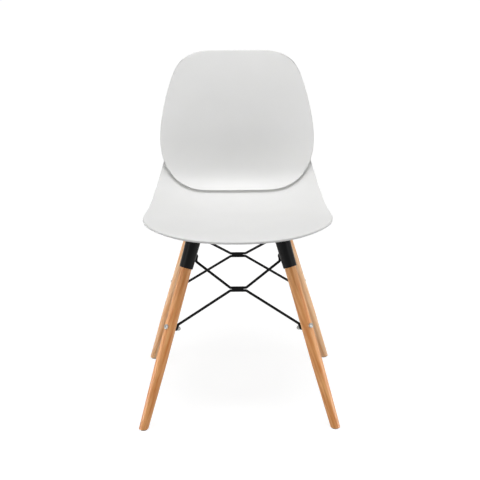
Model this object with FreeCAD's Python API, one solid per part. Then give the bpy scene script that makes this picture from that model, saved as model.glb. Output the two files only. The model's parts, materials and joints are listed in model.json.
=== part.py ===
import FreeCAD, Part
import math
import os
from FreeCAD import Placement, Rotation, Vector

# Moulded plastic shell chair on four splayed wooden legs with wire X braces.
# Millimetres. X runs across the chair, +Y to the back, +Z up, the floor is Z = 0.

# Overall form of the shell
CREST_HEIGHT = 456.5      # top of the front roll above the floor
SHELL_DEPTH = 485.0       # front roll to the furthest point of the back
BACK_RISE = 373.5         # reach of the form above the crest
PANEL_TOP = 361.0         # top edge of the back panel above the crest
SEAT_WIDTH = 452.0
BACK_WIDTH = 387.4
PAN_DROP = 13.0           # lowest line of the seat below the crest
SHELL_OVERHANG = 210.5    # front of the form ahead of the middle of the feet
EDGE_LIFT = 15.0          # how far the sides of the form rise above its middle
WING_LIFT = 35.0          # extra rise of the sides at the bend of the seat
WING_PLACE = 0.56         # where along the form the wings are tallest
WING_SPREAD = 0.19
WRAP_POWER = 2.4          # how late the sides turn up
WRAP_REACH = 200.0        # half width at which the lifts above are measured

# Stretches of the form that walls are made over before they are cut to an outline,
# as shares of its length
SEAT_STRETCH = (0.003, 0.86)
PANEL_STRETCH = (0.42, 0.997)
MOUNTING_STRETCH = (0.1, 0.7)     # over the four mounting bosses
REAR_WALL_STRETCH = (0.6, 0.86)   # behind the four panel bosses
TRIM = 25.0                       # how far a wall is made past the side of its outline
FORM_STEP = 0.002                 # share of the length over which slopes are measured

# Walls and fits of the shell
SHELL_THICKNESS = 6.0
PANEL_GAP = 2.0           # shadow gap between the back panel and the rear wall
WALL_CLEARANCE = 0.05     # between the rear wall and the bosses and screw heads against it
REAR_WALL_TOP = 176.0     # top of the seat's rear wall above the crest
BOSS_DIAMETER = 30.0
BOSS_DROP = 2.5           # face of the mounting bosses below the pan
PANEL_BOSS_DIAMETER = 14.0
PANEL_SCREW_SPREAD = 210.0
PANEL_SCREW_RISES = (104.0, 148.0)

# Stance of the legs
FOOT_SPACING_WIDE = 453.6
FOOT_SPACING_DEEP = 445.0
CORNER_SPACING_WIDE = 209.0   # leg axes at the top of the sockets
CORNER_SPACING_DEEP = 200.4
LEG_DIAMETER = 27.0
FOOT_DIAMETER = 22.0
TAPER_HEIGHT = 158.0          # length of the tapered lower leg
GLIDE_DIAMETER = 18.0
GLIDE_THICKNESS = 3.0
NAIL_DIAMETER = 2.5
NAIL_LENGTH = 16.0
NAIL_HEAD_DIAMETER = 6.0
NAIL_HEAD_THICKNESS = 1.0
NAIL_RECESS = 1.6
GLIDE_EDGE = 0.8

# Sockets and the bars over them
SOCKET_TOP_DIAMETER = 35.4
SOCKET_MOUTH_DIAMETER = 32.4
SOCKET_LENGTH = 67.0
SOCKET_CLEARANCE = 0.1
SOCKET_EDGE = 0.8
SIDE_BAR_WIDTH = 20.0
BAR_WIDTH = 32.0
BAR_THICKNESS = 4.0
PAD_DIAMETER = 26.0
PAD_THICKNESS = 3.0
SEAT_SCREW_INSET = 40.0       # from the leg axis to the seat screw, along the bar
SEAT_SCREW_DIAMETER = 6.0
SEAT_SCREW_LENGTH = 15.0
SEAT_SCREW_HEAD_DIAMETER = 11.0
SEAT_SCREW_HEAD_THICKNESS = 3.6
INSERT_DIAMETER = 9.0
INSERT_LENGTH = 7.5

# X braces
ROD_DIAMETER = 6.2
ROD_SPACING = 7.2             # between the two rods where they are welded
BRACE_HEIGHT = 316.8
FLAT_WIDTH = 37.5
BEND_RADIUS = 7.0             # at the ends of the flat stretch
NECK_BEND_RADIUS = 4.0
TAB_WIDTH = 13.0
TAB_THICKNESS = 3.2
TAB_REACH = 4.8               # bolt hole to the start of the neck
NECK_LENGTH = 3.2             # where the flat tab turns back into round rod
NECK_STRAIGHT = 0.3           # round rod from the neck to its first bend
WELD_LENGTH = 28.0
WELD_OFFSET = 1.5             # the weld bead lies to one side of the middle
WELD_WIDTH = 4.0
LEG_BOLT_HEIGHT = 231.5
SOCKET_SCREW_HEIGHT = 394.5

# Fasteners
BOLT_DIAMETER = 6.0
BOLT_CLEARANCE = 0.4          # on the diameter of every clearance hole
THREAD_CLEARANCE = 0.1        # on the diameter of every hole that a thread fills
HOLE_SPARE = 0.5              # blind holes run this far past what fills them
BOLT_TIP = 5.0                # thread beyond the washer, inside the cap nut
BOLT_HEAD_DIAMETER = 12.0
BOLT_HEAD_THICKNESS = 3.4
DOME_SHARE = 0.6              # domed part of a head's thickness
RECESS_WIDTH = 1.4
RECESS_SHARE = 0.55           # recess length as a share of the head
RECESS_DEPTH = 1.8
WASHER_DIAMETER = 10.0
WASHER_THICKNESS = 1.6
NUT_WIDTH = 10.0              # across the flats
NUT_HEIGHT = 6.0              # hexagonal part
NUT_DOME_HEIGHT = 12.0        # with its dome
NUT_DOME_SHARE = 0.94         # dome diameter as a share of the width across the flats
WOOD_SCREW_DIAMETER = 5.0
WOOD_SCREW_LENGTH = 26.0
WOOD_SCREW_HEAD_DIAMETER = 9.6
WOOD_SCREW_HEAD_THICKNESS = 2.8
PANEL_SCREW_DIAMETER = 4.0
PANEL_SCREW_GRIP = 4.0        # length of thread inside the back panel
PANEL_SCREW_HEAD_DIAMETER = 9.0
PANEL_SCREW_HEAD_THICKNESS = 2.4

# The centre line of the form, from the front roll to the top of the back.
# Seat points: share of the shell depth, share of the pan drop.
SEAT_LINE = [(0.0, -0.46), (0.068, 0.0), (0.223, -0.385), (0.429, -1.0), (0.594, -0.85)]
# Back points: share of the shell depth, share of the back rise.
BACK_LINE = [
    (0.774, 0.019), (0.853, 0.122), (0.8658, 0.277), (0.865, 0.438),
    (0.8866, 0.598), (0.932, 0.786), (1.0, 1.0),
]
# Seat edge seen from above: share of the shell depth, share of half the seat width.
SEAT_EDGE = [
    (0.022, 0.0), (0.032, 0.4), (0.061, 0.664), (0.116, 0.84), (0.213, 0.954),
    (0.366, 1.0), (0.495, 0.967), (0.612, 0.932), (0.718, 0.902), (0.785, 0.87),
]
# Rear wall edge seen from the front: share of half the seat width, share of its rise.
REAR_WALL_EDGE = [
    (0.928, 0.17), (0.898, 0.24), (0.872, 0.33), (0.825, 0.52), (0.76, 0.72), (0.6, 0.9),
    (0.4, 0.98), (0.0, 1.0),
]
# Back panel edge seen from the front: share of half its width, height above the crest
# as a share of the panel's top.
PANEL_EDGE = [
    (0.0, 1.0), (0.25, 1.0), (0.5, 0.993), (0.735, 0.929), (0.871, 0.791), (0.957, 0.611),
    (0.993, 0.432), (0.942, 0.26), (0.772, 0.127), (0.525, 0.069), (0.3, 0.0565), (0.0, 0.0535),
]

# How finely the form is interpolated
FORM_ROWS = 33
FORM_COLUMNS = 13

CORNERS = {
    "front_left": (-1, -1),
    "front_right": (1, -1),
    "rear_left": (-1, 1),
    "rear_right": (1, 1),
}
# Each brace joins two corners. The order says which tab lies against the leg: 0 or on top: 1.
BRACES = {
    "front": ("front_left", "front_right", 1),
    "rear": ("rear_left", "rear_right", 1),
    "left": ("front_left", "rear_left", 0),
    "right": ("front_right", "rear_right", 0),
}
UP = Vector(0, 0, 1)

half_seat = SEAT_WIDTH / 2
half_back = BACK_WIDTH / 2
boss_face = CREST_HEIGHT - PAN_DROP - SHELL_THICKNESS - BOSS_DROP
bar_top = boss_face - PAD_THICKNESS
bar_underside = bar_top - BAR_THICKNESS
leg_radius = LEG_DIAMETER / 2
rod_radius = ROD_DIAMETER / 2
through_wall = 4 * SHELL_THICKNESS    # reach of a cut that passes through a wall
touch = 0.01                          # closer than this counts as the same place


# The form that the seat and the back panel share


def centre_line():
    """Curve of the form in the middle of the chair, in the plane X = 0."""
    seat = [Vector(0, run * SHELL_DEPTH, CREST_HEIGHT + drop * PAN_DROP) for run, drop in SEAT_LINE]
    back = [Vector(0, run * SHELL_DEPTH, CREST_HEIGHT + rise * BACK_RISE) for run, rise in BACK_LINE]
    curve = Part.BSplineCurve()
    curve.interpolate(seat + back)
    curve.translate(Vector(0, -SHELL_OVERHANG, 0))
    return curve


CENTRE_LINE = centre_line()


def form_point(share, across):
    """Point of the form at a share of its length and a distance from the middle."""
    at = CENTRE_LINE.LastParameter * share
    tangent = CENTRE_LINE.tangent(at)[0]
    normal = Vector(0, -tangent.z, tangent.y)
    wing = WING_LIFT * math.exp(-((share - WING_PLACE) / WING_SPREAD) ** 2)
    lift = (EDGE_LIFT + wing) * (abs(across) / WRAP_REACH) ** WRAP_POWER
    return CENTRE_LINE.value(at) + normal * lift + Vector(across, 0, 0)


def form_frame(share, across):
    """Point of the form and its unit normal towards the sitter."""
    along = form_point(share + FORM_STEP, across) - form_point(share - FORM_STEP, across)
    over = form_point(share, across + 1) - form_point(share, across - 1)
    return form_point(share, across), over.cross(along).normalize()


def form_face(stretch, half_width, stand_off):
    """Smooth face at a distance from the form, over a stretch of its length."""
    start, end = stretch
    grid = []
    for i in range(FORM_ROWS):
        row = []
        for j in range(FORM_COLUMNS):
            across = half_width * (2 * j / (FORM_COLUMNS - 1) - 1)
            point, normal = form_frame(start + (end - start) * i / (FORM_ROWS - 1), across)
            row.append(point + normal * stand_off)
        grid.append(row)
    surface = Part.BSplineSurface()
    surface.interpolate(grid)
    return surface.toShape()


def form_slab(stretch, half_width, outer, inner):
    """Wall between two distances from the form, both measured towards the sitter."""
    faces = [form_face(stretch, half_width, stand_off) for stand_off in (outer, inner)]
    sides = [Part.makeRuledSurface(a, b) for a, b in zip(faces[0].Edges, faces[1].Edges)]
    shell = Part.makeShell(faces + sides)
    shell.sewShape()
    return Part.makeSolid(shell)


def share_at(test, low=0.0, high=1.0):
    """Share of the form's length at which the test on its middle point turns true."""
    for _ in range(40):
        middle = (low + high) / 2
        if test(CENTRE_LINE.value(CENTRE_LINE.LastParameter * middle)):
            high = middle
        else:
            low = middle
    return (low + high) / 2


# Shapes used by several pieces


def symmetric_edge(points, closed=False):
    """Smooth edge through points on the +X side and their mirror images."""
    mirrored = [Vector(-p.x, p.y, p.z) for p in reversed(points) if p.x > touch]
    curve = Part.BSplineCurve()
    curve.interpolate(Points=points + mirrored, PeriodicFlag=closed)
    return curve.toShape()


def face_with_corners(edge, corners):
    """Face between a smooth open edge and straight lines through the corners."""
    path = [edge.lastVertex(True).Point] + corners + [edge.firstVertex(True).Point]
    lines = [Part.makeLine(path[i], path[i + 1]) for i in range(len(path) - 1)]
    return Part.Face(Part.Wire([edge] + lines))


def cylinder(start, direction, diameter, length):
    return Part.makeCylinder(diameter / 2, length, start, direction)


def cross_recess(face_centre, direction, head_diameter):
    """Cross-shaped cutter that goes into a head from its outer face."""
    turn = Rotation(UP, direction)
    arms = []
    for quarter in (0, 90):
        length = head_diameter * RECESS_SHARE
        arm = Part.makeBox(
            length, RECESS_WIDTH, RECESS_DEPTH, Vector(-length / 2, -RECESS_WIDTH / 2, 0)
        )
        arm.rotate(Vector(0, 0, 0), UP, quarter)
        arms.append(arm)
    cutter = arms[0].fuse(arms[1])
    cutter.Placement = Placement(face_centre, turn)
    return cutter


def pan_head_fastener(seat_point, direction, diameter, length, head_diameter, head_thickness):
    """Screw or bolt: its head lies behind the seat point, its shank runs in the direction."""
    radius = head_diameter / 2
    crown = DOME_SHARE * head_thickness
    ball = (radius * radius + crown * crown) / (2 * crown)
    half_turn = math.asin(radius / ball) / 2
    top = Vector(0, 0, -head_thickness)
    rim = Vector(radius, 0, crown - head_thickness)
    between = top + Vector(ball * math.sin(half_turn), 0, ball * (1 - math.cos(half_turn)))
    outline = [
        Part.Arc(top, between, rim).toShape(),
        Part.makeLine(rim, Vector(radius, 0, 0)),
        Part.makeLine(Vector(radius, 0, 0), Vector(diameter / 2, 0, 0)),
        Part.makeLine(Vector(diameter / 2, 0, 0), Vector(diameter / 2, 0, length)),
        Part.makeLine(Vector(diameter / 2, 0, length), Vector(0, 0, length)),
        Part.makeLine(Vector(0, 0, length), top),
    ]
    body = Part.Face(Part.Wire(outline)).revolve(Vector(0, 0, 0), UP, 360)
    body = body.cut(cross_recess(top, UP, head_diameter))
    body.Placement = Placement(seat_point, Rotation(UP, direction))
    return body


def below(height):
    """Block that takes away everything under a level."""
    size = 2 * FOOT_SPACING_WIDE
    return Part.makeBox(size, size, size, Vector(-size / 2, -size / 2, height - size))


def above(height):
    """Block that takes away everything over a level."""
    size = 2 * FOOT_SPACING_WIDE
    return Part.makeBox(size, size, size, Vector(-size / 2, -size / 2, height))


# Corners of the base: leg axes and the directions at them


def axis_point(corner, height):
    """Point of a leg's axis at a height above the floor."""
    side, end = CORNERS[corner]
    share = height / bar_underside
    wide = FOOT_SPACING_WIDE + (CORNER_SPACING_WIDE - FOOT_SPACING_WIDE) * share
    deep = FOOT_SPACING_DEEP + (CORNER_SPACING_DEEP - FOOT_SPACING_DEEP) * share
    return Vector(side * wide / 2, end * deep / 2, height)


def leg_direction(corner):
    """Unit vector up the leg."""
    return (axis_point(corner, bar_underside) - axis_point(corner, 0)).normalize()


def inward_direction(corner):
    """Unit vector square to the leg that points to the middle of the chair."""
    side, end = CORNERS[corner]
    up_leg = leg_direction(corner)
    level = Vector(-side, -end, 0).normalize()
    return (level - up_leg * level.dot(up_leg)).normalize()


def on_leg_axis(shape, corner):
    """Move a shape made about +Z from the origin onto a leg's axis at the floor."""
    shape.Placement = Placement(axis_point(corner, 0), Rotation(UP, leg_direction(corner)))
    return shape


def for_corners(make):
    """Group of the same piece made at each corner."""
    return Part.makeCompound([make(corner) for corner in CORNERS])


# The two mouldings


def seat_edge_face():
    points = [
        Vector(half_seat * across, run * SHELL_DEPTH - SHELL_OVERHANG, 0)
        for run, across in reversed(SEAT_EDGE)
    ]
    half = points[0].x
    corners = [Vector(-half, SHELL_DEPTH, 0), Vector(half, SHELL_DEPTH, 0)]
    return face_with_corners(symmetric_edge(points), corners)


def rear_wall_face():
    points = [
        Vector(half_seat * across, 0, CREST_HEIGHT + rise * REAR_WALL_TOP)
        for across, rise in REAR_WALL_EDGE
    ]
    wide = SEAT_WIDTH
    shoulder = points[0].z
    corners = [
        Vector(-wide, 0, shoulder),
        Vector(-wide, 0, 0),
        Vector(wide, 0, 0),
        Vector(wide, 0, shoulder),
    ]
    return face_with_corners(symmetric_edge(points), corners)


def boss_place(corner):
    """Middle of a mounting boss's face, over the crossbar beside the socket."""
    point = axis_point(corner, bar_underside)
    side = CORNERS[corner][0]
    return Vector(point.x - side * SEAT_SCREW_INSET, point.y, boss_face)


def panel_screws_places():
    """Point on the rear wall's front face and direction towards the sitter, per screw."""
    places = []
    for rise in PANEL_SCREW_RISES:
        share = share_at(lambda point: point.z > CREST_HEIGHT + rise)
        for side in (-1, 1):
            places.append(form_frame(share, side * PANEL_SCREW_SPREAD / 2))
    return places


def through_depth(face):
    """Block that a front-view outline sweeps from before the chair to behind it."""
    face.translate(Vector(0, -SHELL_DEPTH, 0))
    return face.extrude(Vector(0, 2 * SHELL_DEPTH, 0))


def seat_shell():
    wall = form_slab(SEAT_STRETCH, half_seat + TRIM, -SHELL_THICKNESS, 0.0)
    plan = seat_edge_face().extrude(UP * 2 * (CREST_HEIGHT + BACK_RISE))
    shell = wall.common(plan).common(through_depth(rear_wall_face()))
    reach = CORNER_SPACING_WIDE / 2
    above_wall = form_slab(MOUNTING_STRETCH, reach, -SHELL_THICKNESS / 2, through_wall)
    bosses = []
    holes = []
    for corner in CORNERS:
        place = boss_place(corner)
        bosses.append(cylinder(place, UP, BOSS_DIAMETER, through_wall).cut(above_wall))
        hole_diameter = INSERT_DIAMETER + THREAD_CLEARANCE
        holes.append(cylinder(place, UP, hole_diameter, INSERT_LENGTH + HOLE_SPARE))
    for point, normal in panel_screws_places():
        start = point - normal * through_wall
        hole_diameter = PANEL_SCREW_DIAMETER + BOLT_CLEARANCE
        holes.append(cylinder(start, normal, hole_diameter, 2 * through_wall))
    return shell.multiFuse(bosses).cut(Part.makeCompound(holes))


def panel_edge_face():
    points = [
        Vector(half_back * across, 0, CREST_HEIGHT + rise * PANEL_TOP)
        for across, rise in PANEL_EDGE
    ]
    return Part.Face(Part.Wire([symmetric_edge(points, closed=True)]))


def back_panel():
    wall = form_slab(PANEL_STRETCH, half_back + TRIM, PANEL_GAP, PANEL_GAP + SHELL_THICKNESS)
    panel = wall.common(through_depth(panel_edge_face()))
    rear_wall = form_slab(REAR_WALL_STRETCH, half_back, -2 * SHELL_THICKNESS, WALL_CLEARANCE)
    bosses = []
    holes = []
    for point, normal in panel_screws_places():
        start = point - normal * SHELL_THICKNESS
        length = SHELL_THICKNESS + PANEL_GAP + SHELL_THICKNESS / 2
        boss = cylinder(start, normal, PANEL_BOSS_DIAMETER, length)
        bosses.append(boss.cut(rear_wall))
        depth = PANEL_GAP + PANEL_SCREW_GRIP + HOLE_SPARE
        holes.append(cylinder(point, normal, PANEL_SCREW_DIAMETER + THREAD_CLEARANCE, depth))
    return panel.multiFuse(bosses).cut(Part.makeCompound(holes))


def back_panel_screws():
    screws = []
    for point, normal in panel_screws_places():
        behind = SHELL_THICKNESS + WALL_CLEARANCE
        screws.append(
            pan_head_fastener(
                point - normal * behind,
                normal,
                PANEL_SCREW_DIAMETER,
                behind + PANEL_GAP + PANEL_SCREW_GRIP,
                PANEL_SCREW_HEAD_DIAMETER,
                PANEL_SCREW_HEAD_THICKNESS,
            )
        )
    return Part.makeCompound(screws)


# Legs and what holds them


def leg_bolt_hole(corner, height, diameter):
    middle = axis_point(corner, height)
    inward = inward_direction(corner)
    return cylinder(middle - inward * LEG_DIAMETER, inward, diameter, 2 * LEG_DIAMETER)


def glide_centre(corner):
    point = axis_point(corner, GLIDE_THICKNESS)
    return Vector(point.x, point.y, 0)


def leg(corner):
    """Turned leg, cut level at both ends and bored for its bolt, screw and nail."""
    foot = FOOT_DIAMETER / 2
    top = bar_underside / leg_direction(corner).z + LEG_DIAMETER
    outline = [
        Vector(0, 0, -foot),
        Vector(foot, 0, -foot),
        Vector(foot, 0, 0),
        Vector(leg_radius, 0, TAPER_HEIGHT),
        Vector(leg_radius, 0, top),
        Vector(0, 0, top),
        Vector(0, 0, -foot),
    ]
    turned = Part.Face(Part.makePolygon(outline)).revolve(Vector(0, 0, 0), UP, 360)
    turned = on_leg_axis(turned, corner).cut(below(GLIDE_THICKNESS)).cut(above(bar_underside))
    nail_depth = NAIL_LENGTH + HOLE_SPARE
    screw_start = axis_point(corner, SOCKET_SCREW_HEIGHT) + inward_direction(corner) * LEG_DIAMETER
    screw_depth = WOOD_SCREW_LENGTH + LEG_DIAMETER - screw_seat_radius() + HOLE_SPARE
    holes = [
        leg_bolt_hole(corner, LEG_BOLT_HEIGHT, BOLT_DIAMETER + BOLT_CLEARANCE),
        cylinder(glide_centre(corner), UP, NAIL_DIAMETER + THREAD_CLEARANCE, nail_depth),
        cylinder(
            screw_start,
            -inward_direction(corner),
            WOOD_SCREW_DIAMETER + THREAD_CLEARANCE,
            screw_depth,
        ),
    ]
    return turned.cut(Part.makeCompound(holes))


def foot_glide(corner):
    centre = glide_centre(corner)
    disc = cylinder(centre, UP, GLIDE_DIAMETER, GLIDE_THICKNESS)
    rim = [e for e in disc.Edges if e.BoundBox.ZMax < touch]
    disc = disc.makeChamfer(GLIDE_EDGE, rim)
    head = cylinder(centre, UP, NAIL_HEAD_DIAMETER + BOLT_CLEARANCE, NAIL_RECESS)
    shank = cylinder(centre, UP, NAIL_DIAMETER + THREAD_CLEARANCE, GLIDE_THICKNESS)
    return disc.cut(head).cut(shank)


def glide_nail(corner):
    centre = glide_centre(corner)
    base = centre + UP * (NAIL_RECESS - NAIL_HEAD_THICKNESS)
    head = cylinder(base, UP, NAIL_HEAD_DIAMETER, NAIL_HEAD_THICKNESS)
    shank = cylinder(base, UP, NAIL_DIAMETER, NAIL_LENGTH)
    return head.fuse(shank)


def socket_radius(height):
    """Outer radius of a socket where a height above the floor meets its axis."""
    along = (bar_underside - height) / leg_direction("front_left").z
    share = min(along / SOCKET_LENGTH, 1.0)
    return (SOCKET_TOP_DIAMETER + (SOCKET_MOUTH_DIAMETER - SOCKET_TOP_DIAMETER) * share) / 2


def socket(corner):
    """Tapered cup, open to the leg below and closed above by the crossbar."""
    rise = leg_direction(corner).z
    top = bar_underside / rise
    mouth = top - SOCKET_LENGTH
    spare = SOCKET_TOP_DIAMETER
    flare = (SOCKET_TOP_DIAMETER - SOCKET_MOUTH_DIAMETER) / 2 / SOCKET_LENGTH
    outer = Part.makeCone(
        SOCKET_MOUTH_DIAMETER / 2,
        SOCKET_TOP_DIAMETER / 2 + flare * spare,
        SOCKET_LENGTH + spare,
        Vector(0, 0, mouth),
        UP,
    )
    mouth_edges = [e for e in outer.Edges if e.BoundBox.ZMax < mouth + touch]
    outer = outer.makeChamfer(SOCKET_EDGE, mouth_edges)
    bore = cylinder(
        Vector(0, 0, mouth - spare),
        UP,
        LEG_DIAMETER + 2 * SOCKET_CLEARANCE,
        SOCKET_LENGTH + 3 * spare,
    )
    cup = on_leg_axis(outer.cut(bore), corner).cut(above(bar_underside))
    inward = inward_direction(corner)
    hole = cylinder(
        axis_point(corner, SOCKET_SCREW_HEIGHT),
        inward,
        WOOD_SCREW_DIAMETER + BOLT_CLEARANCE,
        SOCKET_TOP_DIAMETER,
    )
    return cup.cut(hole)


# Under-seat frame and what fixes the seat to it


def seat_screw_place(corner):
    """Where a seat screw's head meets the underside of the crossbar."""
    place = boss_place(corner)
    return Vector(place.x, place.y, bar_underside)


def crossbar(end):
    """Flat bar with round ends that closes the two sockets at one end of the base."""
    corners = [corner for corner in CORNERS if CORNERS[corner][1] == end]
    half_length = CORNER_SPACING_WIDE / 2
    y = end * CORNER_SPACING_DEEP / 2
    start = Vector(-half_length, y - BAR_WIDTH / 2, bar_underside)
    bar = Part.makeBox(2 * half_length, BAR_WIDTH, BAR_THICKNESS, start)
    for corner in corners:
        bar = bar.fuse(cylinder(axis_point(corner, bar_underside), UP, BAR_WIDTH, BAR_THICKNESS))
    hole_diameter = SEAT_SCREW_DIAMETER + BOLT_CLEARANCE
    holes = [
        cylinder(seat_screw_place(corner), UP, hole_diameter, BAR_THICKNESS) for corner in corners
    ]
    return bar.removeSplitter().cut(Part.makeCompound(holes))


def side_bar(side):
    """Flat bar between the inner edges of the two crossbars."""
    length = CORNER_SPACING_DEEP - BAR_WIDTH
    x = side * CORNER_SPACING_WIDE / 2 - SIDE_BAR_WIDTH / 2
    return Part.makeBox(SIDE_BAR_WIDTH, length, BAR_THICKNESS, Vector(x, -length / 2, bar_underside))


def mounting_pad(corner):
    place = boss_place(corner) - UP * PAD_THICKNESS
    pad = cylinder(place, UP, PAD_DIAMETER, PAD_THICKNESS)
    return pad.cut(cylinder(place, UP, SEAT_SCREW_DIAMETER + BOLT_CLEARANCE, PAD_THICKNESS))


def seat_insert(corner):
    place = boss_place(corner)
    body = cylinder(place, UP, INSERT_DIAMETER, INSERT_LENGTH)
    return body.cut(cylinder(place, UP, SEAT_SCREW_DIAMETER + THREAD_CLEARANCE, INSERT_LENGTH))


def seat_screw(corner):
    return pan_head_fastener(
        seat_screw_place(corner),
        UP,
        SEAT_SCREW_DIAMETER,
        SEAT_SCREW_LENGTH,
        SEAT_SCREW_HEAD_DIAMETER,
        SEAT_SCREW_HEAD_THICKNESS,
    )


# X braces


def tab_frame(corner, toward, level, order):
    """Bolt hole's middle in a tab, and the tab's directions: to its neck, sideways, outward.

    Sideways points along the brace, outward points off the leg.
    """
    up_leg = leg_direction(corner)
    outward = inward_direction(corner)
    if level == "lower":
        height, radius, to_neck = LEG_BOLT_HEIGHT, leg_radius, up_leg
    else:
        height, radius, to_neck = SOCKET_SCREW_HEIGHT, upper_tab_radius(), -up_leg
    middle = axis_point(corner, height) + outward * (radius + (order + 0.5) * TAB_THICKNESS)
    sideways = up_leg.cross(outward)
    along_brace = axis_point(toward, height) - axis_point(corner, height)
    if sideways.dot(along_brace) < 0:
        sideways = -sideways
    return middle, to_neck, sideways, outward


def screw_seat_radius():
    """From a leg's axis to the outer face of the upper of the two tabs at the socket."""
    return upper_tab_radius() + 2 * TAB_THICKNESS


def upper_tab_radius():
    """From a leg's axis to the tab against the socket, which clears the socket's taper."""
    return socket_radius(SOCKET_SCREW_HEIGHT + TAB_WIDTH / 2)


def tab_and_neck(frame, hole_diameter):
    """Pressed end of a rod: a flat tab with one full-width round end, and its neck."""
    middle, to_neck, sideways, outward = frame
    half = TAB_WIDTH / 2
    base = middle - outward * (TAB_THICKNESS / 2)

    def at(side, up):
        return base + sideways * side + to_neck * up

    inner = half - ROD_DIAMETER
    outline = [
        Part.makeLine(at(inner, TAB_REACH), at(half, TAB_REACH)),
        Part.makeLine(at(half, TAB_REACH), at(half, 0)),
        Part.Arc(at(half, 0), at(0, -half), at(-half, 0)).toShape(),
        Part.makeLine(at(-half, 0), at(inner, TAB_REACH)),
    ]
    tab = Part.Face(Part.Wire(outline)).extrude(outward * TAB_THICKNESS)
    hole = cylinder(middle - outward * TAB_THICKNESS, outward, hole_diameter, 2 * TAB_THICKNESS)

    flat = [
        at(inner, TAB_REACH),
        at(half, TAB_REACH),
        at(half, TAB_REACH) + outward * TAB_THICKNESS,
        at(inner, TAB_REACH) + outward * TAB_THICKNESS,
    ]
    flat_wire = Part.Wire([Part.makeLine(flat[i], flat[(i + 1) % 4]) for i in range(4)])
    centre = rod_start(frame)

    def on_circle(angle):
        turn = math.radians(angle)
        return centre + (sideways * math.cos(turn) + outward * math.sin(turn)) * rod_radius

    quarters = [
        Part.Arc(on_circle(start), on_circle(start + 45), on_circle(start + 90)).toShape()
        for start in (225, 315, 45, 135)
    ]
    neck = Part.makeLoft([flat_wire, Part.Wire(quarters)], True, True)
    return tab.cut(hole), neck


def rod_start(frame):
    """Middle of the rod's section where its neck begins, its inner side level with the tab's."""
    middle, to_neck, sideways, outward = frame
    along = to_neck * (TAB_REACH + NECK_LENGTH)
    off = outward * (rod_radius - TAB_THICKNESS / 2)
    return middle + along + off + sideways * (TAB_WIDTH / 2 - rod_radius)


def bent_path(points, radii):
    """Wire through the points, each inner point rounded by an arc of its own radius."""
    edges = []
    last = points[0]
    for i, radius in enumerate(radii, start=1):
        corner = points[i]
        back = (points[i - 1] - corner).normalize()
        ahead = (points[i + 1] - corner).normalize()
        half_angle = back.getAngle(ahead) / 2
        reach = radius / math.tan(half_angle)
        start = corner + back * reach
        finish = corner + ahead * reach
        inward = (back + ahead).normalize()
        middle = corner + inward * (radius / math.sin(half_angle) - radius)
        edges.append(Part.makeLine(last, start))
        edges.append(Part.Arc(start, middle, finish).toShape())
        last = finish
    edges.append(Part.makeLine(last, points[-1]))
    return Part.Wire(edges)


def brace_middle(brace, level):
    """Middle of a rod's flat stretch, and the direction along the brace."""
    first, second, _ = BRACES[brace]
    start = axis_point(first, BRACE_HEIGHT)
    finish = axis_point(second, BRACE_HEIGHT)
    step = ROD_SPACING / 2 if level == "upper" else -ROD_SPACING / 2
    return (start + finish) * 0.5 + UP * step, (finish - start).normalize()


def brace_rod(brace, level):
    """One bent rod of an X brace, from tab to tab, with its flat stretch in the middle."""
    first, second, order = BRACES[brace]
    frames = [tab_frame(first, second, level, order), tab_frame(second, first, level, order)]
    middle, along = brace_middle(brace, level)
    starts = [rod_start(frame) for frame in frames]
    flat = [middle - along * (FLAT_WIDTH / 2), middle + along * (FLAT_WIDTH / 2)]
    leads = []
    for start, frame, target in zip(starts, frames, flat):
        turn = frame[1].getAngle(target - start)
        lead = NECK_BEND_RADIUS * math.tan(turn / 2) + NECK_STRAIGHT
        leads.append(start + frame[1] * lead)
    points = [starts[0], leads[0], flat[0], flat[1], leads[1], starts[1]]
    path = bent_path(points, [NECK_BEND_RADIUS, BEND_RADIUS, BEND_RADIUS, NECK_BEND_RADIUS])
    section = Part.Wire(Part.makeCircle(rod_radius, starts[0], frames[0][1]))
    rod = path.makePipeShell([section], True, True)
    bolt = BOLT_DIAMETER if level == "lower" else WOOD_SCREW_DIAMETER
    pieces = []
    for frame in frames:
        pieces.extend(tab_and_neck(frame, bolt + BOLT_CLEARANCE))
    return rod.multiFuse(pieces)


def brace_weld(brace):
    """Bead that fills the valley between the two flat stretches."""
    upper, along = brace_middle(brace, "upper")
    lower, _ = brace_middle(brace, "lower")
    across = along.cross(UP)
    corner = lower + along * (-WELD_OFFSET - WELD_LENGTH / 2) - across * (WELD_WIDTH / 2)
    corners = [
        corner,
        corner + along * WELD_LENGTH,
        corner + along * WELD_LENGTH + across * WELD_WIDTH,
        corner + across * WELD_WIDTH,
    ]
    base = Part.Face(Part.makePolygon(corners + [corner]))
    bead = base.extrude(upper - lower)
    for middle in (upper, lower):
        start = middle - along * FLAT_WIDTH
        bead = bead.cut(cylinder(start, along, ROD_DIAMETER, 2 * FLAT_WIDTH))
    return bead


# Fasteners of the base


def nut_seat_radius():
    """From a leg's axis to the face on which the cap nut sits."""
    return leg_radius + 2 * TAB_THICKNESS + WASHER_THICKNESS


def leg_bolt(corner):
    inward = inward_direction(corner)
    start = axis_point(corner, LEG_BOLT_HEIGHT) - inward * leg_radius
    length = leg_radius + nut_seat_radius() + BOLT_TIP
    return pan_head_fastener(
        start, inward, BOLT_DIAMETER, length, BOLT_HEAD_DIAMETER, BOLT_HEAD_THICKNESS
    )


def leg_washer(corner):
    inward = inward_direction(corner)
    start = axis_point(corner, LEG_BOLT_HEIGHT) + inward * (nut_seat_radius() - WASHER_THICKNESS)
    disc = cylinder(start, inward, WASHER_DIAMETER, WASHER_THICKNESS)
    return disc.cut(cylinder(start, inward, BOLT_DIAMETER + BOLT_CLEARANCE, WASHER_THICKNESS))


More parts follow.
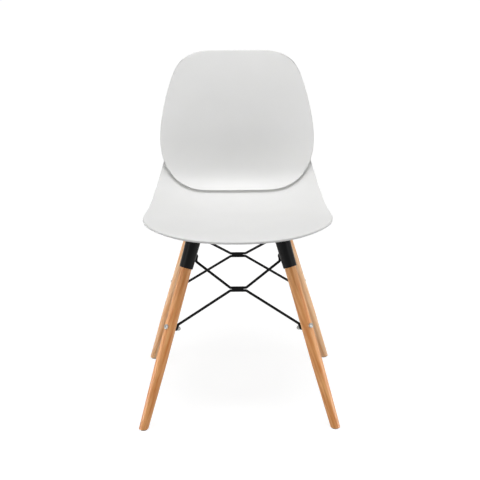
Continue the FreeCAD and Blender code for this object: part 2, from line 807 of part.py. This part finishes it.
def leg_cap_nut(corner):
    """Hexagonal nut with a dome that hides the end of the bolt."""
    circle = NUT_WIDTH / math.sqrt(3)
    corners = [
        Vector(circle * math.cos(math.radians(60 * i)), circle * math.sin(math.radians(60 * i)), 0)
        for i in range(7)
    ]
    hexagon = Part.Face(Part.makePolygon(corners)).extrude(UP * NUT_HEIGHT)
    dome_radius = NUT_DOME_SHARE * NUT_WIDTH / 2
    dome_base = Vector(0, 0, NUT_DOME_HEIGHT - dome_radius)
    neck = cylinder(Vector(0, 0, NUT_HEIGHT), UP, 2 * dome_radius, dome_base.z - NUT_HEIGHT)
    dome = Part.makeSphere(dome_radius, dome_base, UP, 0, 90)
    bore_depth = BOLT_TIP + HOLE_SPARE
    bore = cylinder(Vector(0, 0, 0), UP, BOLT_DIAMETER + THREAD_CLEARANCE, bore_depth)
    nut = hexagon.multiFuse([neck, dome]).cut(bore)
    inward = inward_direction(corner)
    start = axis_point(corner, LEG_BOLT_HEIGHT) + inward * nut_seat_radius()
    nut.Placement = Placement(start, Rotation(UP, inward))
    return nut


def socket_screw(corner):
    inward = inward_direction(corner)
    start = axis_point(corner, SOCKET_SCREW_HEIGHT) + inward * screw_seat_radius()
    return pan_head_fastener(
        start,
        -inward,
        WOOD_SCREW_DIAMETER,
        WOOD_SCREW_LENGTH,
        WOOD_SCREW_HEAD_DIAMETER,
        WOOD_SCREW_HEAD_THICKNESS,
    )


def all_pieces():
    pieces = {
        "seat_shell": seat_shell(),
        "back_panel": back_panel(),
        "back_panel_screws": back_panel_screws(),
        "front_crossbar": crossbar(-1),
        "rear_crossbar": crossbar(1),
        "left_side_bar": side_bar(-1),
        "right_side_bar": side_bar(1),
        "mounting_pads": for_corners(mounting_pad),
        "seat_inserts": for_corners(seat_insert),
        "seat_screws": for_corners(seat_screw),
        "brace_welds": Part.makeCompound([brace_weld(brace) for brace in BRACES]),
        "leg_bolts": for_corners(leg_bolt),
        "leg_washers": for_corners(leg_washer),
        "leg_cap_nuts": for_corners(leg_cap_nut),
        "socket_screws": for_corners(socket_screw),
        "foot_glides": for_corners(foot_glide),
        "glide_nails": for_corners(glide_nail),
    }
    for corner in CORNERS:
        pieces["leg_" + corner] = leg(corner)
        pieces["socket_" + corner] = socket(corner)
    for brace in BRACES:
        for level in ("upper", "lower"):
            pieces[brace + "_brace_" + level + "_rod"] = brace_rod(brace, level)
    return pieces


def main():
    """Write every piece, with the origin on the floor under the middle of the whole chair."""
    pieces = all_pieces()
    whole = Part.makeCompound(list(pieces.values())).optimalBoundingBox(False)
    to_middle = Vector(0, -(whole.YMin + whole.YMax) / 2, 0)
    os.makedirs("parts", exist_ok=True)
    for name, shape in pieces.items():
        shape.translate(to_middle)
        shape.exportStep(os.path.join("parts", name + ".step"))
    print("moved by", to_middle.y, "box", whole)


main()
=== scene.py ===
import json
import math

import bmesh
import bpy
import numpy as np
from mathutils import Matrix, Vector


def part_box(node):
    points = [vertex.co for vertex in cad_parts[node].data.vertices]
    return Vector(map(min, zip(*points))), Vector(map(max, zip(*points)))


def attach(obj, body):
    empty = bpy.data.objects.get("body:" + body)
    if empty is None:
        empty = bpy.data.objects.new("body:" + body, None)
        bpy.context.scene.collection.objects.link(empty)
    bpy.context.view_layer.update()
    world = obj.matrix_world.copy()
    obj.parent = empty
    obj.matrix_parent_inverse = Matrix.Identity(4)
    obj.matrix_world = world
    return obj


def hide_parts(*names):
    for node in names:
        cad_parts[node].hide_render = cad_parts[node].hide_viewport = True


# Looks of the moulded plastic shell chair: two nested white mouldings on turned beech legs,
# held by black steel sockets and bent-rod braces. Metres, +Y to the back of the chair.

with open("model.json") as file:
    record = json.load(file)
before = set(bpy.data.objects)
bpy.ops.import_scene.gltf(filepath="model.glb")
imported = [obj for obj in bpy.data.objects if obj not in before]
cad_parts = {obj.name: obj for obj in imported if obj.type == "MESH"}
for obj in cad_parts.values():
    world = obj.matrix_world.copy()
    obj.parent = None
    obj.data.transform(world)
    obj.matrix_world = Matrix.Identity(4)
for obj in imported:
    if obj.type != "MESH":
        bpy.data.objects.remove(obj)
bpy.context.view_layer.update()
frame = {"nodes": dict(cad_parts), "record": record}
nodes = frame["nodes"]

# Driving sizes, in millimetres, as the chair was drawn
CREST_HEIGHT = 456.5
SHELL_DEPTH = 485.0
BACK_RISE = 373.5
PANEL_TOP = 361.0
SEAT_WIDTH = 452.0
BACK_WIDTH = 387.4
PAN_DROP = 13.0
SHELL_OVERHANG = 210.5
EDGE_LIFT = 15.0
WING_LIFT = 35.0
WING_PLACE = 0.56
WING_SPREAD = 0.19
WRAP_POWER = 2.4
WRAP_REACH = 200.0
SHELL_THICKNESS = 6.0
PANEL_GAP = 2.0
REAR_WALL_TOP = 176.0
CORNER_SPACING_DEEP = 200.4
PANEL_SCREW_SPREAD = 210.0
PANEL_SCREW_RISES = {"lower": 104.0, "upper": 148.0}
PAD_RADIUS = 13.0

# Rounded rim and evenness of the mouldings, in millimetres, radians and counts
RIM_RADIUS = 1.6
RIM_SEGMENTS = 4
RIM_ANGLE = 0.8
GRID = 96
SEAT_CENTRE = 0.42
PANEL_CENTRE = 0.75

# Radius and height of the bosses, in millimetres
PANEL_BOSS = [(2.1, 0.1), (7.0, 0.1), (7.0, 4.0)]
SEAT_BOSS = [(4.6, 8.0), (4.6, 0.0), (14.4, 0.0), (15.0, 0.6), (15.2, 3.0), (17.0, 8.0)]

# Steps for working out directions on the form, and how finely its edges are followed
TANGENT_STEP = 0.5
SHARE_STEP = 0.002
ACROSS_STEP = 1.0
PLACE_ROUNDS = 6
HALVINGS = 40
PLAN_POINTS = 201
FLANK_POINTS = 90
SHOULDER_POINTS = 20
SHOULDER_LEAD = 10.0
WALL_POINTS = 151
PANEL_POINTS = 301

SEAT_LINE = [(0.0, -0.46), (0.068, 0.0), (0.223, -0.385), (0.429, -1.0), (0.594, -0.85)]
BACK_LINE = [
    (0.774, 0.019), (0.853, 0.122), (0.8658, 0.277), (0.865, 0.438),
    (0.8866, 0.598), (0.932, 0.786), (1.0, 1.0),
]
SEAT_EDGE = [
    (0.022, 0.0), (0.032, 0.4), (0.061, 0.664), (0.116, 0.84), (0.213, 0.954),
    (0.366, 1.0), (0.495, 0.967), (0.612, 0.932), (0.718, 0.902), (0.785, 0.87),
]
REAR_WALL_EDGE = [
    (0.928, 0.17), (0.898, 0.24), (0.872, 0.33), (0.825, 0.52), (0.76, 0.72), (0.6, 0.9),
    (0.4, 0.98), (0.0, 1.0),
]
PANEL_EDGE = [
    (0.0, 1.0), (0.25, 1.0), (0.5, 0.993), (0.735, 0.929), (0.871, 0.791), (0.957, 0.611),
    (0.993, 0.432), (0.942, 0.26), (0.772, 0.127), (0.525, 0.069), (0.3, 0.0565), (0.0, 0.0535),
]

MM = 0.001
# The chair stands with its whole box centred, which moved every piece along Y by this much
crossbar_low, crossbar_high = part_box("front_crossbar")
BOX_SHIFT = (crossbar_low.y + crossbar_high.y) / 2 + CORNER_SPACING_DEEP / 2 * MM


# Smooth curves and the form that both mouldings share


def smooth_curve(points):
    """Cubic through points, measured by chord length: the curve as a function, and its length."""
    points = np.array(points, float)
    knots = np.concatenate([[0.0], np.cumsum(np.linalg.norm(np.diff(points, axis=0), axis=1))])
    gap = np.diff(knots)
    count = len(knots)
    slopes = np.diff(points, axis=0) / gap[:, None]
    system = np.zeros((count, count))
    right = np.zeros(points.shape)
    for i in range(1, count - 1):
        system[i, i - 1 : i + 2] = gap[i - 1], 2 * (gap[i - 1] + gap[i]), gap[i]
        right[i] = 6 * (slopes[i] - slopes[i - 1])
    system[0, :3] = gap[1], -(gap[0] + gap[1]), gap[0]
    system[-1, -3:] = gap[-1], -(gap[-1] + gap[-2]), gap[-2]
    bend = np.linalg.solve(system, right)

    def at(where):
        where = np.atleast_1d(where)
        i = np.clip(np.searchsorted(knots, where) - 1, 0, count - 2)
        width = gap[i][:, None]
        ahead = (knots[i + 1] - where)[:, None]
        behind = (where - knots[i])[:, None]
        cubic = (bend[i] * ahead**3 + bend[i + 1] * behind**3) / (6 * width)
        left = (points[i] / width - bend[i] * width / 6) * ahead
        return cubic + left + (points[i + 1] / width - bend[i + 1] * width / 6) * behind

    return at, knots[-1]


centre_points = [(run * SHELL_DEPTH, drop * PAN_DROP) for run, drop in SEAT_LINE]
centre_points += [(run * SHELL_DEPTH, rise * BACK_RISE) for run, rise in BACK_LINE]
centre_points = np.array(centre_points) + [-SHELL_OVERHANG, CREST_HEIGHT]
centre_line, centre_length = smooth_curve(centre_points)


def form(share, across):
    """Points of the form at shares of its length and distances from the middle."""
    at = share * centre_length
    middle = centre_line(at)
    tangent = centre_line(at + TANGENT_STEP) - centre_line(at - TANGENT_STEP)
    tangent /= np.linalg.norm(tangent, axis=1)[:, None]
    wing = WING_LIFT * np.exp(-(((share - WING_PLACE) / WING_SPREAD) ** 2))
    lift = (EDGE_LIFT + wing) * (np.abs(across) / WRAP_REACH) ** WRAP_POWER
    back = middle[:, 0] - tangent[:, 1] * lift
    up = middle[:, 1] + tangent[:, 0] * lift
    return np.stack([across, back, up], 1)


def on_form(share, across, stand_off):
    """Points at a distance from the form, towards the sitter."""
    along = form(share + SHARE_STEP, across) - form(share - SHARE_STEP, across)
    over = form(share, across + ACROSS_STEP) - form(share, across - ACROSS_STEP)
    normal = np.cross(over, along)
    normal /= np.linalg.norm(normal, axis=1)[:, None]
    return form(share, across) + normal * stand_off


def form_place(targets, axis, stand_off):
    """Share and distance from the middle where the form meets outline points.

    The outline gives X and one more coordinate, which is numbered by axis.
    """
    across = targets[:, 0].copy()
    for _ in range(PLACE_ROUNDS):
        low = np.full(len(targets), 0.0)
        high = np.full(len(targets), 1.0)
        for _ in range(HALVINGS):
            share = (low + high) / 2
            over = on_form(share, across, stand_off)[:, axis] > targets[:, 1]
            high = np.where(over, share, high)
            low = np.where(over, low, share)
        across += targets[:, 0] - on_form(share, across, stand_off)[:, 0]
    return np.stack([share * centre_length, across], 1)


def half_curve(points, count):
    """Evenly spaced points on the +X side of a smooth curve through points and their mirrors."""
    points = np.array(points, float)
    other = points[::-1][points[::-1][:, 0] > 0.001] * [-1, 1]
    curve, length = smooth_curve(np.concatenate([points, other]))
    return curve(np.linspace(0, length / 2, count))


def reach_by_angle(places, centre, angles):
    """Distance from the centre to an edge on the form, by angle from straight ahead."""
    spokes = places - [centre, 0]
    turn = np.arctan2(spokes[:, 1], -spokes[:, 0])
    order = np.argsort(turn)
    size = np.linalg.norm(spokes, axis=1)[order]
    return np.interp(angles, turn[order], size, left=np.inf, right=np.inf)


def seat_reach(centre, angles, stand_off):
    """Edge of the seat: its plan outline and flank, or the rear wall's outline if that is nearer."""
    half = SEAT_WIDTH / 2
    plan = [(half * across, run * SHELL_DEPTH - SHELL_OVERHANG) for run, across in SEAT_EDGE[::-1]]
    edge = form_place(half_curve(plan, PLAN_POINTS), 1, stand_off)
    last_along, last_across = edge[0]
    flank_along = np.linspace(last_along + 1, centre_length, FLANK_POINTS)
    flank = np.stack([flank_along, np.full(FLANK_POINTS, last_across)], 1)
    wall = [(half * across, CREST_HEIGHT + rise * REAR_WALL_TOP) for across, rise in REAR_WALL_EDGE]
    wall_across, wall_height = wall[0]
    shoulder_across = np.linspace(half + SHOULDER_LEAD, wall_across + 1, SHOULDER_POINTS)
    shoulder = np.stack([shoulder_across, np.full(SHOULDER_POINTS, wall_height)], 1)
    wall_edge = np.concatenate([shoulder, half_curve(wall, WALL_POINTS)])
    top = form_place(wall_edge, 2, stand_off)
    plan_reach = reach_by_angle(np.concatenate([edge, flank]), centre, angles)
    return np.minimum(plan_reach, reach_by_angle(top, centre, angles))


def panel_reach(centre, angles, stand_off):
    """Edge of the back panel, from its front view."""
    half = BACK_WIDTH / 2
    loop = [(half * across, CREST_HEIGHT + rise * PANEL_TOP) for across, rise in PANEL_EDGE]
    before = [(-x, z) for x, z in loop[3:0:-1]]
    after = [(-x, z) for x, z in loop[-2:-5:-1]]
    points = np.array(before + loop + after)
    curve, _ = smooth_curve(points)
    knots = np.concatenate([[0.0], np.cumsum(np.linalg.norm(np.diff(points, axis=0), axis=1))])
    first = len(before)
    last = first + len(loop) - 1
    side = curve(np.linspace(knots[first], knots[last], PANEL_POINTS))
    return reach_by_angle(form_place(side, 2, stand_off), centre, angles)


def moulding_places(grid, reach, centre_share, stand_off):
    """Where a square grid's points lie when the grid fills an edge on the form."""
    s, t = grid[:, 0], grid[:, 1]
    u = s * np.sqrt(1 - t * t / 2)
    v = t * np.sqrt(1 - s * s / 2)
    centre = centre_share * centre_length
    size = reach(centre, np.arctan2(np.abs(v), -u), stand_off)
    share = (centre + u * size) / centre_length
    points = on_form(share, v * size, stand_off) * MM
    points[:, 1] += BOX_SHIFT
    return points


# Making pieces


def new_piece(name, bm, material, replaced=()):
    """Object that rides on the chair, from a finished bmesh."""
    mesh = bpy.data.meshes.new(name)
    bm.to_mesh(mesh)
    bm.free()
    mesh.polygons.foreach_set("use_smooth", [True] * len(mesh.polygons))
    mesh.materials.append(material)
    piece = bpy.data.objects.new(name, mesh)
    bpy.context.scene.collection.objects.link(piece)
    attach(piece, "root")
    if replaced:
        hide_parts(*replaced)


def moulding(reach, centre_share, near, far):
    """Wall of even thickness on the form, inside an edge, with a rounded rim."""
    bm = bmesh.new()
    bmesh.ops.create_grid(bm, x_segments=GRID, y_segments=GRID, size=1.0)
    made = bmesh.ops.extrude_face_region(bm, geom=bm.faces[:], use_keep_orig=True)
    raised = {v for v in made["geom"] if isinstance(v, bmesh.types.BMVert)}
    for stand_off, is_raised in ((near, False), (far, True)):
        sheet = [v for v in bm.verts if (v in raised) == is_raised]
        grid = np.array([v.co for v in sheet])
        for vertex, point in zip(sheet, moulding_places(grid, reach, centre_share, stand_off)):
            vertex.co = point
    bmesh.ops.recalc_face_normals(bm, faces=bm.faces)
    rim = [e for e in bm.edges if len(e.link_faces) == 2 and e.calc_face_angle() > RIM_ANGLE]
    bmesh.ops.bevel(
        bm, geom=rim, offset=RIM_RADIUS * MM, segments=RIM_SEGMENTS, profile=0.5,
        affect="EDGES", material=-1,
    )
    return bm


def turned(profile, foot, axis, steps=48):
    """Solid of revolution from radius and height points in millimetres, set on an axis."""
    bm = bmesh.new()
    ring = [bm.verts.new((radius * MM, 0, height * MM)) for radius, height in profile]
    edges = [bm.edges.new(pair) for pair in zip(ring, ring[1:])]
    bmesh.ops.spin(
        bm, geom=ring + edges, cent=(0, 0, 0), axis=(0, 0, 1), angle=2 * math.pi, steps=steps,
        use_merge=True,
    )
    bmesh.ops.remove_doubles(bm, verts=bm.verts, dist=1e-6)
    bmesh.ops.recalc_face_normals(bm, faces=bm.faces)
    turn = Vector(axis).to_track_quat("Z", "Y").to_matrix().to_4x4()
    bmesh.ops.transform(bm, matrix=Matrix.Translation(foot) @ turn, verts=bm.verts)
    return bm


# Materials


def linear(code):
    """Linear colour from an sRGB hex value."""
    parts = [int(code[i : i + 2], 16) / 255 for i in (1, 3, 5)]
    return [c / 12.92 if c <= 0.04045 else ((c + 0.055) / 1.055) ** 2.4 for c in parts] + [1.0]


def new_material(name):
    material = bpy.data.materials.new(name)
    material.use_nodes = True
    material.node_tree.nodes.clear()
    return material, material.node_tree


def add(tree, kind, inputs=(), **settings):
    """Node with its settings; each input is given a value, or a socket to link from."""
    made = tree.nodes.new("ShaderNode" + kind)
    for key, value in settings.items():
        setattr(made, key, value)
    for key, value in dict(inputs).items():
        if isinstance(value, bpy.types.NodeSocket):
            tree.links.new(value, made.inputs[key])
        else:
            made.inputs[key].default_value = value
    return made


def moulded_polypropylene():
    """White polypropylene, injection moulded in a finely etched tool.

    The etched tool leaves a satin skin with a fine even grain and a soft broad highlight.
    """
    material, tree = new_material("moulded_white_polypropylene_satin")
    place = add(tree, "TexCoord").outputs["Object"]
    # The white wanders a little over about 90 mm
    cloud = add(tree, "TexNoise", {"Vector": place, "Scale": 1 / (90 * MM), "Detail": 2.0})
    tint = add(
        tree, "Mix",
        {"Factor": cloud.outputs["Fac"], "A": linear("#E9E9E8"), "B": linear("#EEEEED")},
        data_type="RGBA",
    )
    # Etched grain is about 0.4 mm; it is drawn at 1.2 mm so that it shows
    grain = add(tree, "TexNoise", {"Vector": place, "Scale": 1 / (1.2 * MM), "Detail": 2.0})
    sheen = add(tree, "MapRange", {"Value": grain.outputs["Fac"], "To Min": 0.40, "To Max": 0.52})
    relief = add(
        tree, "Bump", {"Height": grain.outputs["Fac"], "Strength": 0.12, "Distance": 0.0002}
    )
    skin = add(
        tree, "BsdfPrincipled",
        {
            "Base Color": tint.outputs["Result"],
            "Roughness": sheen.outputs["Result"],
            "IOR": 1.49,
            "Subsurface Weight": 0.12,
            "Subsurface Radius": (0.004, 0.004, 0.0035),
            "Subsurface Scale": 1.0,
            "Normal": relief.outputs["Normal"],
        },
    )
    add(tree, "OutputMaterial", {"Surface": skin.outputs["BSDF"]})
    return material


BOARD_STEP = Vector((0.03, 0.02, 0))


def lacquered_beech(name, foot, up, seed, dark, light):
    """Beech, turned and sprayed with clear satin lacquer, its grain along the leg.

    Under lacquer beech is a warm orange tan, with faint growth bands and short dark flecks.
    """
    material, tree = new_material("lacquered_beech_" + name)
    turn = up.to_track_quat("Z", "Y").to_euler()
    place = add(
        tree, "Mapping",
        {
            "Vector": add(tree, "TexCoord").outputs["Object"],
            # Each leg is cut from another place in the board
            "Location": foot + BOARD_STEP * seed,
            "Rotation": turn,
        },
        vector_type="TEXTURE",
    ).outputs["Vector"]
    # Growth bands are 3 to 5 mm apart and run the whole leg, so the pattern is drawn out 20 times
    stretched = add(tree, "Mapping", {"Vector": place, "Scale": (1.0, 1.0, 0.05)})
    bands = add(
        tree, "TexNoise",
        {
            "Vector": stretched.outputs["Vector"],
            "Scale": 1 / (6 * MM),
            "Detail": 3.0,
            "Distortion": 0.3,
        },
    )
    tone = add(tree, "ValToRGB", {"Fac": bands.outputs["Fac"]})
    tone.color_ramp.elements[0].position = 0.32
    tone.color_ramp.elements[0].color = linear(dark)
    tone.color_ramp.elements[1].position = 0.68
    tone.color_ramp.elements[1].color = linear(light)
    # Ray flecks are about 2 mm long and 0.5 mm wide
    drawn = add(tree, "Mapping", {"Vector": place, "Scale": (1.0, 1.0, 0.2)})
    flecks = add(
        tree, "TexVoronoi",
        {"Vector": drawn.outputs["Vector"], "Scale": 1 / (1.6 * MM), "Randomness": 1.0},
    )
    fleck = add(
        tree, "MapRange",
        {
            "Value": flecks.outputs["Distance"],
            "From Min": 0.08,
            "From Max": 0.22,
            "To Min": 0.30,
            "To Max": 0.0,
        },
    )
    wood = add(
        tree, "Mix",
        {"Factor": fleck.outputs["Result"], "A": tone.outputs["Color"], "B": linear("#A8642F")},
        data_type="RGBA",
    )
    relief = add(
        tree, "Bump", {"Height": bands.outputs["Fac"], "Strength": 0.1, "Distance": 0.0002}
    )
    skin = add(
        tree, "BsdfPrincipled",
        {
            "Base Color": wood.outputs["Result"],
            "Roughness": 0.45,
            "IOR": 1.5,
            "Specular IOR Level": 0.3,
            "Coat Weight": 0.25,
            "Coat Roughness": 0.25,
            "Normal": relief.outputs["Normal"],
        },
    )
    add(tree, "OutputMaterial", {"Surface": skin.outputs["BSDF"]})
    return material


def black_powder_coat():
    """Steel under black polyester powder, baked: an even satin coat with a fine orange peel."""
    material, tree = new_material("black_powder_coated_steel")
    place = add(tree, "TexCoord").outputs["Object"]
    # Orange peel is 1 to 2 mm from crest to crest
    peel = add(tree, "TexNoise", {"Vector": place, "Scale": 1 / (1.5 * MM), "Detail": 1.0})
    relief = add(
        tree, "Bump", {"Height": peel.outputs["Fac"], "Strength": 0.25, "Distance": 0.0002}
    )
    haze = add(tree, "MapRange", {"Value": peel.outputs["Fac"], "To Min": 0.28, "To Max": 0.38})
    # The black wanders a little over about 20 mm
    cloud = add(tree, "TexNoise", {"Vector": place, "Scale": 1 / (20 * MM), "Detail": 2.0})
    tint = add(
        tree, "Mix",
        {"Factor": cloud.outputs["Fac"], "A": linear("#060607"), "B": linear("#0B0B0C")},
        data_type="RGBA",
    )
    skin = add(
        tree, "BsdfPrincipled",
        {
            "Base Color": tint.outputs["Result"],
            "Roughness": haze.outputs["Result"],
            "IOR": 1.5,
            "Specular IOR Level": 0.12,
            "Normal": relief.outputs["Normal"],
        },
    )
    add(tree, "OutputMaterial", {"Surface": skin.outputs["BSDF"]})
    return material


def metal(name, light, dark, smoothness, spot_mm):
    """Plated or bare metal whose tone and gloss wander a little from spot to spot."""
    material, tree = new_material(name)
    place = add(tree, "TexCoord").outputs["Object"]
    spots = add(tree, "TexNoise", {"Vector": place, "Scale": 1 / (spot_mm * MM), "Detail": 3.0})
    tint = add(
        tree, "Mix", {"Factor": spots.outputs["Fac"], "A": linear(light), "B": linear(dark)},
        data_type="RGBA",
    )
    gloss = add(
        tree, "MapRange",
        {"Value": spots.outputs["Fac"], "To Min": smoothness - 0.06, "To Max": smoothness + 0.08},
    )
    skin = add(
        tree, "BsdfPrincipled",
        {
            "Base Color": tint.outputs["Result"],
            "Metallic": 1.0,
            "Roughness": gloss.outputs["Result"],
        },
    )
    add(tree, "OutputMaterial", {"Surface": skin.outputs["BSDF"]})
    return material


def soft_polymer(name, light, dark, roughness, grain_mm):
    """Rubber or polyethylene with a dull, slightly grained skin."""
    material, tree = new_material(name)
    place = add(tree, "TexCoord").outputs["Object"]
    grain = add(tree, "TexNoise", {"Vector": place, "Scale": 1 / (grain_mm * MM), "Detail": 2.0})
    tint = add(
        tree, "Mix", {"Factor": grain.outputs["Fac"], "A": linear(light), "B": linear(dark)},
        data_type="RGBA",
    )
    relief = add(
        tree, "Bump", {"Height": grain.outputs["Fac"], "Strength": 0.2, "Distance": 0.0002}
    )
    skin = add(
        tree, "BsdfPrincipled",
        {
            "Base Color": tint.outputs["Result"],
            "Roughness": roughness,
            "IOR": 1.5,
            "Normal": relief.outputs["Normal"],
        },
    )
    add(tree, "OutputMaterial", {"Surface": skin.outputs["BSDF"]})
    return material


polypropylene = moulded_polypropylene()
powder_coat = black_powder_coat()
zinc = metal("zinc_plated_steel", "#B4B4AE", "#9A9B9C", 0.34, 1.5)
brass = metal("turned_brass", "#D8B36A", "#B98F4A", 0.28, 1.0)
rubber = soft_polymer("moulded_black_rubber", "#141414", "#1C1C1B", 0.85, 0.8)
polyethylene = soft_polymer("grey_polyethylene", "#77766F", "#6A6963", 0.6, 0.8)


# Finishes of the pieces that keep the drawn shape

FINISHES = {
    "white_polypropylene": polypropylene,
    "black_powder_coat": powder_coat,
    "zinc_plated_steel": zinc,
    "brass_insert": brass,
    "black_rubber": rubber,
    "grey_polyethylene": polyethylene,
}
slots = {part["node"]: part["material_slot"] for part in frame["record"]["subparts"]}
for name, node in nodes.items():
    if slots[name] in FINISHES:
        node.data.materials.clear()
        node.data.materials.append(FINISHES[slots[name]])

# Each leg has its own grain; the rear legs' paler tones are painted light, making up for the shade
# the seat casts over them
# The front tones are the wood's own colour; the rear tones are the same wood painted lighter
LEG_TONES_WITH_PAINTED_LIGHT = {"front": ("#D0813F", "#F0B274"), "rear": ("#E8A76E", "#F9D2A8")}
CORNERS = [(end, side) for end in LEG_TONES_WITH_PAINTED_LIGHT for side in ("left", "right")]
for seed, (end, side) in enumerate(CORNERS, start=1):
    name = "leg_%s_%s" % (end, side)
    low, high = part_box(name)
    foot_x, head_x = (high.x, low.x) if side == "right" else (low.x, high.x)
    foot_y, head_y = (high.y, low.y) if end == "rear" else (low.y, high.y)
    foot = Vector((foot_x, foot_y, 0))
    head = Vector((head_x, head_y, high.z))
    wood = lacquered_beech("%s_%s" % (end, side), foot, head - foot, seed, *LEG_TONES_WITH_PAINTED_LIGHT[end])
    nodes[name].data.materials.clear()
    nodes[name].data.materials.append(wood)


# The two mouldings

new_piece(
    "seat_shell_moulding",
    moulding(seat_reach, SEAT_CENTRE, 0.0, -SHELL_THICKNESS),
    polypropylene,
    ["seat_shell"],
)
new_piece(
    "back_panel_moulding",
    moulding(panel_reach, PANEL_CENTRE, PANEL_GAP, PANEL_GAP + SHELL_THICKNESS),
    polypropylene,
    ["back_panel"],
)

# Bosses that hold the back panel off the rear wall
for row, rise in PANEL_SCREW_RISES.items():
    for side, sign in (("left", -1), ("right", 1)):
        middle = form_place(np.array([[0.0, CREST_HEIGHT + rise]]), 2, 0.0)
        share = middle[:, 0] / centre_length
        across = np.array([sign * PANEL_SCREW_SPREAD / 2])
        seat_point = on_form(share, across, 0.0)[0]
        axis = on_form(share, across, 1.0)[0] - seat_point
        foot = seat_point * MM + [0, BOX_SHIFT, 0]
        boss = turned(PANEL_BOSS, Vector(foot), Vector(axis), 32)
        new_piece("panel_boss_%s_%s" % (row, side), boss, polypropylene)

# Bosses under the seat, one over each rubber pad
pad_low, pad_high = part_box("mounting_pads")
pad_margin = PAD_RADIUS * MM
for side, x in (("left", -(pad_high.x - pad_margin)), ("right", pad_high.x - pad_margin)):
    for end, y in (("front", pad_low.y + pad_margin), ("rear", pad_high.y - pad_margin)):
        boss = turned(SEAT_BOSS, (x, y, pad_high.z), (0, 0, 1))
        new_piece("seat_boss_%s_%s" % (end, side), boss, polypropylene)


# Floor, light and camera


def seen_directly(tree):
    """1 for rays from the camera and from glossy or clear surfaces, and 0 for all others."""
    rays = add(tree, "LightPath").outputs
    seen = rays["Is Camera Ray"]
    for other in ("Is Glossy Ray", "Is Transmission Ray"):
        seen = add(tree, "Math", {0: seen, 1: rays[other]}, operation="MAXIMUM").outputs[0]
    return seen


def studio_floor():
    """Floor of grey paper that takes the chair's shadow, lifted to white where it is seen."""
    material, tree = new_material("white_studio_floor")
    place = add(tree, "TexCoord").outputs["Object"]
    away = add(tree, "VectorMath", {0: place}, operation="LENGTH").outputs["Value"]
    # Lamplight fades away from the chair, so the lift grows with the distance in metres
    rise = add(
        tree, "MapRange",
        {"Value": away, "From Min": 0.2, "From Max": 4.0, "To Min": 0.83, "To Max": 0.94},
    )
    lift = add(tree, "Math", {0: seen_directly(tree), 1: rise.outputs[0]}, operation="MULTIPLY")
    paper = add(tree, "BsdfDiffuse", {"Color": linear("#9A9A9A")})
    glow = add(tree, "Emission", {"Color": linear("#FFFFFF"), "Strength": lift.outputs[0]})
    both = add(tree, "AddShader", {0: paper.outputs[0], 1: glow.outputs[0]})
    add(tree, "OutputMaterial", {"Surface": both.outputs[0]})
    return material


bm = bmesh.new()
bmesh.ops.create_grid(bm, x_segments=1, y_segments=1, size=30.0)
floor_mesh = bpy.data.meshes.new("studio_floor")
bm.to_mesh(floor_mesh)
bm.free()
floor_mesh.materials.append(studio_floor())
floor = bpy.data.objects.new("studio_floor", floor_mesh)
bpy.context.scene.collection.objects.link(floor)

# The world is white where it is seen, and a dim even fill for everything it lights
world = bpy.data.worlds.new("studio")
world.use_nodes = True
tree = world.node_tree
tree.nodes.clear()
level = add(tree, "MapRange", {"Value": seen_directly(tree), "To Min": 0.25, "To Max": 1.0})
sky = add(tree, "Background", {"Color": linear("#FFFFFF"), "Strength": level.outputs["Result"]})
add(tree, "OutputWorld", {"Surface": sky.outputs["Background"]})
bpy.context.scene.world = world


def softbox(name, place, aim, width, height, power, spread=180):
    """Area lamp aimed at a point: metres, watts, and the angle of its beam in degrees."""
    lamp = bpy.data.lights.new(name, "AREA")
    lamp.shape = "RECTANGLE"
    lamp.size = width
    lamp.size_y = height
    lamp.energy = power
    lamp.spread = math.radians(spread)
    box = bpy.data.objects.new(name, lamp)
    turn = (Vector(aim) - Vector(place)).to_track_quat("-Z", "Y").to_matrix().to_4x4()
    box.matrix_world = Matrix.Translation(place) @ turn
    bpy.context.scene.collection.objects.link(box)


softbox("top_softbox", (0.0, -0.5, 3.1), (0, 0, 0.45), 1.8, 1.4, 44.0)
softbox("left_softbox", (-2.4, -1.9, 1.3), (0, 0, 0.4), 0.8, 1.8, 17.0)
softbox("right_softbox", (2.4, -1.9, 1.3), (0, 0, 0.4), 0.8, 1.8, 13.5)
# Low lamps behind honeycomb grids light the legs from the sides and miss the shell
softbox("left_strip", (-2.2, -0.3, 0.2), (0, 0, 0.16), 0.3, 0.3, 0.6, 26)
softbox("right_strip", (2.2, -0.3, 0.2), (0, 0, 0.16), 0.3, 0.3, 0.6, 26)

# Camera fitted to the four feet and the two braces, in metres, degrees and millimetres of lens
CAMERA_ACROSS = 0.0051
CAMERA_BACK = -3.0655
CAMERA_HEIGHT = 1.348
CAMERA_DIP = 17.24
CAMERA_ROLL = 0.51
CAMERA_LENS = 99.075
camera_data = bpy.data.cameras.new("camera")
camera_data.lens = CAMERA_LENS
camera_data.sensor_width = 36.0
camera = bpy.data.objects.new("camera", camera_data)
tilt = Matrix.Rotation(math.radians(90 - CAMERA_DIP), 4, "X")
roll = Matrix.Rotation(math.radians(-CAMERA_ROLL), 4, "Z")
stand = Matrix.Translation((CAMERA_ACROSS, CAMERA_BACK + BOX_SHIFT, CAMERA_HEIGHT))
camera.matrix_world = stand @ tilt @ roll
bpy.context.scene.collection.objects.link(camera)
bpy.context.scene.camera = camera
bpy.context.scene.view_settings.view_transform = "Standard"
